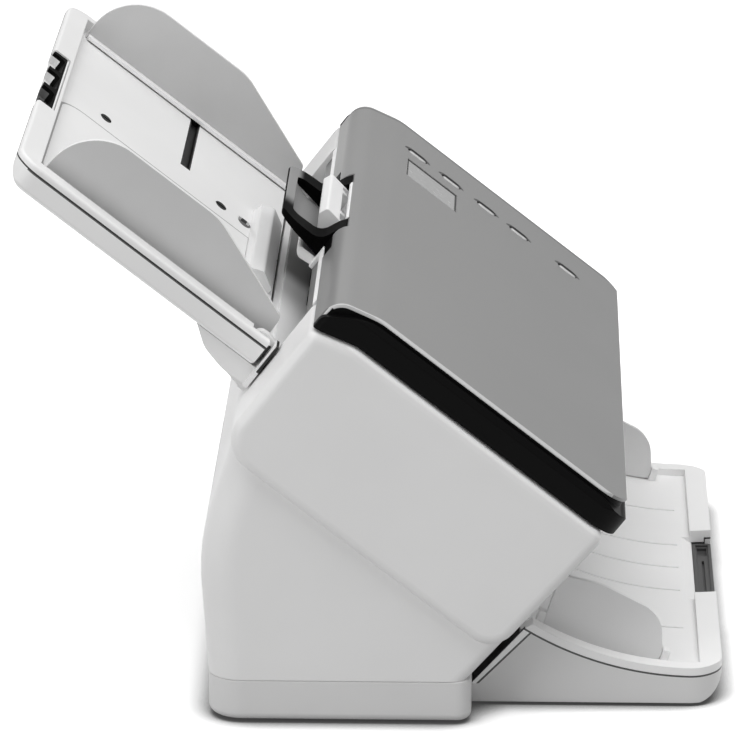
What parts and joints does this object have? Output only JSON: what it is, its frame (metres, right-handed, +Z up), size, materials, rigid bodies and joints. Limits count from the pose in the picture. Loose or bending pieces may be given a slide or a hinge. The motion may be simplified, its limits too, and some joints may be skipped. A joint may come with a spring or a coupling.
{
  "type": "document scanner",
  "caption": "Desktop sheet-fed document scanner: hinged cover over a sloping paper path, folding input tray with linked side guides, and an output tray with folding stops.",
  "frame": {"origin": "on the table, in the middle of the bounding box's bottom face", "axes": "+Z up, -Y the front where sheets leave, +X the operator's right"},
  "size_m": [0.33, 0.281, 0.2273],
  "materials": {
    "white_plastic": "fine spark texture",
    "grey_lid_plastic": "satin paint",
    "guide_plastic": "matt",
    "black_plastic": "semi-gloss",
    "dark_plastic": "matt",
    "inner_plastic": "matt",
    "steel_sheet": "zinc plated",
    "shaft_steel": "ground",
    "soft_rubber": "matt",
    "belt_rubber": "matt",
    "path_glass": "clear",
    "lens_plastic": "clear smoked",
    "green_board": "solder mask",
    "motor_case": "plated",
    "nylon": "matt"
  },
  "bodies": {
    "base": {"left_side_cover": "white_plastic", "right_side_cover": "white_plastic", "rear_cover": "white_plastic", "front_cover": "white_plastic", "bottom_pan": "white_plastic", "rubber_feet": "soft_rubber", "main_board": "green_board", "usb_port": "steel_sheet", "power_inlet": "dark_plastic", "lower_guide_plate": "inner_plastic", "lower_glass": "path_glass", "lower_image_sensor": "dark_plastic", "left_frame": "steel_sheet", "right_frame": "steel_sheet", "shaft_bearings": "nylon", "drive_belt": "belt_rubber", "drive_motor": "motor_case", "latch_catches": "steel_sheet", "tray_bracket": "white_plastic", "output_tray": "white_plastic", "output_tray_shell": "white_plastic"},
    "feed_drive": {"feed_shaft": "shaft_steel", "feed_tyres": "soft_rubber", "feed_pulley": "nylon"},
    "exit_drive": {"exit_shaft": "shaft_steel", "exit_tyres": "soft_rubber", "exit_pulley": "nylon"},
    "motor_rotor": {"motor_pulley": "nylon"},
    "cover": {"cover_frame": "black_plastic", "cover_shell": "grey_lid_plastic", "upper_transport_unit": "inner_plastic", "upper_glass": "path_glass", "upper_image_sensor": "dark_plastic", "finger_cup": "black_plastic", "finger_well": "dark_plastic", "rear_lip": "white_plastic", "display_lens": "lens_plastic", "control_board": "green_board"},
    "separator": {"separation_roller": "soft_rubber"},
    "idlers": {"idler_rollers": "nylon"},
    "release": {"release_lever": "white_plastic", "latch_shaft": "shaft_steel", "latch_hooks": "steel_sheet"},
    "power_key": {"power_button": "grey_lid_plastic"},
    "up_key": {"up_button": "grey_lid_plastic"},
    "down_key": {"down_button": "grey_lid_plastic"},
    "start_key": {"start_button": "grey_lid_plastic"},
    "stop_key": {"stop_button": "grey_lid_plastic"},
    "sheet_tray": {"input_tray": "white_plastic", "input_tray_shell": "white_plastic", "feed_ramp": "white_plastic"},
    "left_sheet_guide": {"left_input_guide": "guide_plastic"},
    "right_sheet_guide": {"right_input_guide": "guide_plastic"},
    "pinion": {"guide_pinion": "nylon"},
    "input_slide": {"input_extender": "white_plastic", "input_grip": "dark_plastic"},
    "left_stack_guide": {"left_output_guide": "guide_plastic"},
    "right_stack_guide": {"right_output_guide": "guide_plastic"},
    "output_slide": {"output_extender": "white_plastic", "output_grip": "dark_plastic"}
  },
  "joints": [
    {"name": "exit_spin", "type": "hinge", "parent": "base", "child": "exit_drive", "pos_m": [0, -0.04548, 0.06471], "axis": [1, 0, 0], "continuous": true},
    {"name": "feed_spin", "type": "hinge", "parent": "base", "child": "feed_drive", "pos_m": [0, 0.0292, 0.1218], "axis": [1, 0, 0], "continuous": true},
    {"name": "motor_spin", "type": "hinge", "parent": "base", "child": "motor_rotor", "pos_m": [0, 0.008, 0.052], "axis": [1, 0, 0], "continuous": true},
    {"name": "cover_hinge", "type": "hinge", "parent": "base", "child": "cover", "pos_m": [0, -0.08617, 0.07862], "axis": [1, 0, 0], "range_deg": [0, 70]},
    {"name": "separator_spin", "type": "hinge", "parent": "cover", "child": "separator", "pos_m": [0, 0.01664, 0.13787], "axis": [1, 0, 0], "continuous": true},
    {"name": "idler_spin", "type": "hinge", "parent": "cover", "child": "idlers", "pos_m": [0, -0.05463, 0.07642], "axis": [1, 0, 0], "continuous": true},
    {"name": "release_hinge", "type": "hinge", "parent": "cover", "child": "release", "pos_m": [0, 0.01523, 0.15593], "axis": [1, 0, 0], "range_deg": [0, 10], "stiffness_Nm_per_rad": 0.15, "springref_deg": -5.73},
    {"name": "sheet_tray_hinge", "type": "hinge", "parent": "base", "child": "sheet_tray", "pos_m": [0, 0.04388, 0.14849], "axis": [1, 0, 0], "range_deg": [0, 40]},
    {"name": "left_guide_slide", "type": "slide", "parent": "sheet_tray", "child": "left_sheet_guide", "axis": [1, 0, 0], "range_m": [0, 0.062]},
    {"name": "right_guide_slide", "type": "slide", "parent": "sheet_tray", "child": "right_sheet_guide", "axis": [-1, 0, 0], "range_m": [0, 0.062]},
    {"name": "pinion_spin", "type": "hinge", "parent": "sheet_tray", "child": "pinion", "pos_m": [0, 0.07415, 0.16579], "axis": [0, -0.6157, 0.788], "range_deg": [0, 450]},
    {"name": "input_slide_out", "type": "slide", "parent": "sheet_tray", "child": "input_slide", "axis": [0, 0.788, 0.6157], "range_m": [0, 0.08]},
    {"name": "left_stack_guide_fold", "type": "hinge", "parent": "base", "child": "left_stack_guide", "pos_m": [-0.121, -0.0695, 0.0322], "axis": [0, 0.9517, 0.307], "range_deg": [0, 88]},
    {"name": "right_stack_guide_fold", "type": "hinge", "parent": "base", "child": "right_stack_guide", "pos_m": [0.121, -0.0695, 0.0322], "axis": [0, -0.9517, -0.307], "range_deg": [0, 88]},
    {"name": "output_slide_out", "type": "slide", "parent": "base", "child": "output_slide", "axis": [0, -1, 0], "range_m": [0, 0.07]},
    {"name": "power_press", "type": "slide", "parent": "cover", "child": "power_key", "axis": [0, 0.6157, -0.788], "range_m": [0, 0.0012], "stiffness_N_per_m": 400, "springref_m": -0.0006},
    {"name": "up_press", "type": "slide", "parent": "cover", "child": "up_key", "axis": [0, 0.6157, -0.788], "range_m": [0, 0.0012], "stiffness_N_per_m": 400, "springref_m": -0.0006},
    {"name": "down_press", "type": "slide", "parent": "cover", "child": "down_key", "axis": [0, 0.6157, -0.788], "range_m": [0, 0.0012], "stiffness_N_per_m": 400, "springref_m": -0.0006},
    {"name": "start_press", "type": "slide", "parent": "cover", "child": "start_key", "axis": [0, 0.6157, -0.788], "range_m": [0, 0.0012], "stiffness_N_per_m": 400, "springref_m": -0.0006},
    {"name": "stop_press", "type": "slide", "parent": "cover", "child": "stop_key", "axis": [0, 0.6157, -0.788], "range_m": [0, 0.0012], "stiffness_N_per_m": 400, "springref_m": -0.0006}
  ],
  "couplings": [
    {"joint": "feed_spin", "follows": "exit_spin", "ratio": 0.89091},
    {"joint": "motor_spin", "follows": "exit_spin", "ratio": 1.6333},
    {"joint": "right_guide_slide", "follows": "left_guide_slide", "ratio": 1},
    {"joint": "pinion_spin", "follows": "left_guide_slide", "rad_per_m": 125}
  ]
}
